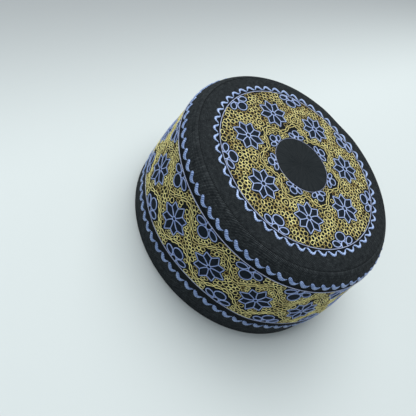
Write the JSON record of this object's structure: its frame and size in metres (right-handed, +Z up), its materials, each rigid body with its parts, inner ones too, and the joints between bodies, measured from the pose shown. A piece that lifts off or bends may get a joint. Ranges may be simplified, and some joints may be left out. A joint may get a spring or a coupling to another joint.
{
  "type": "kufi",
  "caption": "Stiff round cap with a flat top and an upright band, open below for the head; black cloth with blue and gold thread embroidery. It stands on its rim.",
  "frame": {"origin": "centre of the cap's box at the rim's underside, on the surface that the cap stands on", "axes": "+Z up through the crown panel; -Y towards the side that the picture shows"},
  "size_m": [0.1848, 0.1844, 0.087],
  "materials": {
    "crown_cloth": "black quilted cotton, matt",
    "band_cloth": "black quilted cotton, matt",
    "black_thread": "black thread with a slight sheen",
    "blue_thread": "periwinkle blue thread with a satin sheen",
    "pale_thread": "pale lavender thread, thin",
    "gold_thread": "old gold thread with a satin sheen"
  },
  "bodies": {
    "root": {"crown_panel": "crown_cloth", "side_band": "band_cloth"}
  },
  "joints": []
}
